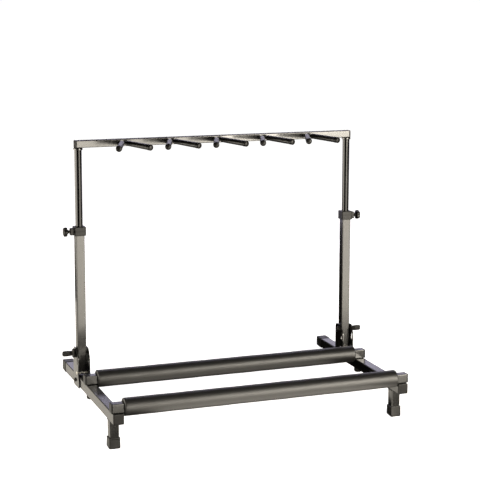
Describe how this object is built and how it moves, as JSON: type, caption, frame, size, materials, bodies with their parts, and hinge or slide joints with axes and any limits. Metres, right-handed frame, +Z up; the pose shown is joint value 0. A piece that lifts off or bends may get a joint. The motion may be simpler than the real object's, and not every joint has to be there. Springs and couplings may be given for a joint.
{
  "type": "guitar rack",
  "caption": "Folding floor rack for guitars: tilted steel base with foam covered cross bars, folding telescopic uprights and a neck rest with padded V yokes.",
  "frame": {"origin": "middle of the rack's footprint on the floor", "axes": "+X to the right along the cross bars, +Y to the rear, +Z up"},
  "size_m": [0.8058, 0.4978, 0.6325],
  "materials": {
    "black_powder_coated_steel": "satin",
    "black_enamelled_tube": "gloss",
    "black_moulded_plastic": "satin",
    "black_foam": "matte",
    "black_rubber": "satin",
    "zinc_plated_steel": "satin",
    "black_oxide_steel": "satin"
  },
  "bodies": {
    "base": {"left_rail": "black_powder_coated_steel", "left_rail_front_cap": "black_moulded_plastic", "left_rail_rear_foot": "black_moulded_plastic", "left_front_leg": "black_powder_coated_steel", "left_foot_pad": "black_rubber", "left_bracket_inner_plate": "black_powder_coated_steel", "left_bracket_outer_plate": "black_powder_coated_steel", "left_stop_pin": "zinc_plated_steel", "left_bracket_bolt": "black_oxide_steel", "left_pivot_bolt": "black_oxide_steel", "right_rail": "black_powder_coated_steel", "right_rail_front_cap": "black_moulded_plastic", "right_rail_rear_foot": "black_moulded_plastic", "right_front_leg": "black_powder_coated_steel", "right_foot_pad": "black_rubber", "right_bracket_inner_plate": "black_powder_coated_steel", "right_bracket_outer_plate": "black_powder_coated_steel", "right_stop_pin": "zinc_plated_steel", "right_bracket_bolt": "black_oxide_steel", "right_pivot_bolt": "black_oxide_steel", "front_bar": "black_powder_coated_steel", "front_foam": "black_foam", "front_bar_left_plug": "black_moulded_plastic", "front_bar_left_bolt": "black_oxide_steel", "front_bar_right_plug": "black_moulded_plastic", "front_bar_right_bolt": "black_oxide_steel", "rear_bar": "black_powder_coated_steel", "rear_foam": "black_foam", "rear_bar_left_plug": "black_moulded_plastic", "rear_bar_left_bolt": "black_oxide_steel", "rear_bar_right_plug": "black_moulded_plastic", "rear_bar_right_bolt": "black_oxide_steel"},
    "upright_frame": {"left_lower_upright": "black_powder_coated_steel", "left_height_collar": "black_moulded_plastic", "right_lower_upright": "black_powder_coated_steel", "right_height_collar": "black_moulded_plastic"},
    "neck_rest": {"left_upper_tube": "black_enamelled_tube", "top_bar_left_plug": "black_moulded_plastic", "right_upper_tube": "black_enamelled_tube", "top_bar_right_plug": "black_moulded_plastic", "top_bar": "black_powder_coated_steel", "yoke_1_rod": "black_powder_coated_steel", "yoke_1_left_sleeve": "black_rubber", "yoke_1_right_sleeve": "black_rubber", "yoke_2_rod": "black_powder_coated_steel", "yoke_2_left_sleeve": "black_rubber", "yoke_2_right_sleeve": "black_rubber", "yoke_3_rod": "black_powder_coated_steel", "yoke_3_left_sleeve": "black_rubber", "yoke_3_right_sleeve": "black_rubber", "yoke_4_rod": "black_powder_coated_steel", "yoke_4_left_sleeve": "black_rubber", "yoke_4_right_sleeve": "black_rubber", "yoke_5_rod": "black_powder_coated_steel", "yoke_5_left_sleeve": "black_rubber", "yoke_5_right_sleeve": "black_rubber"},
    "left_lock_knob": {"left_lock_knob": "black_moulded_plastic"},
    "left_height_knob": {"left_height_knob": "black_moulded_plastic"},
    "right_lock_knob": {"right_lock_knob": "black_moulded_plastic"},
    "right_height_knob": {"right_height_knob": "black_moulded_plastic"}
  },
  "joints": [
    {"name": "upright_fold", "type": "hinge", "parent": "base", "child": "upright_frame", "pos_m": [0, 0.10988, 0.09915], "axis": [1, 0, 0], "range_deg": [0, 90]},
    {"name": "neck_rest_height", "type": "slide", "parent": "upright_frame", "child": "neck_rest", "axis": [0, 0.1501, 0.9887], "range_m": [-0.13, 0.05]},
    {"name": "left_height_knob_turn", "type": "hinge", "parent": "upright_frame", "child": "left_height_knob", "pos_m": [-0.355, 0.15553, 0.3997], "axis": [1, 0, 0], "range_deg": [0, 720]},
    {"name": "right_height_knob_turn", "type": "hinge", "parent": "upright_frame", "child": "right_height_knob", "pos_m": [0.355, 0.15553, 0.3997], "axis": [1, 0, 0], "range_deg": [0, 720]},
    {"name": "left_lock_knob_turn", "type": "hinge", "parent": "base", "child": "left_lock_knob", "pos_m": [-0.355, 0.10988, 0.09915], "axis": [1, 0, 0], "range_deg": [0, 720]},
    {"name": "right_lock_knob_turn", "type": "hinge", "parent": "base", "child": "right_lock_knob", "pos_m": [0.355, 0.10988, 0.09915], "axis": [1, 0, 0], "range_deg": [0, 720]}
  ]
}
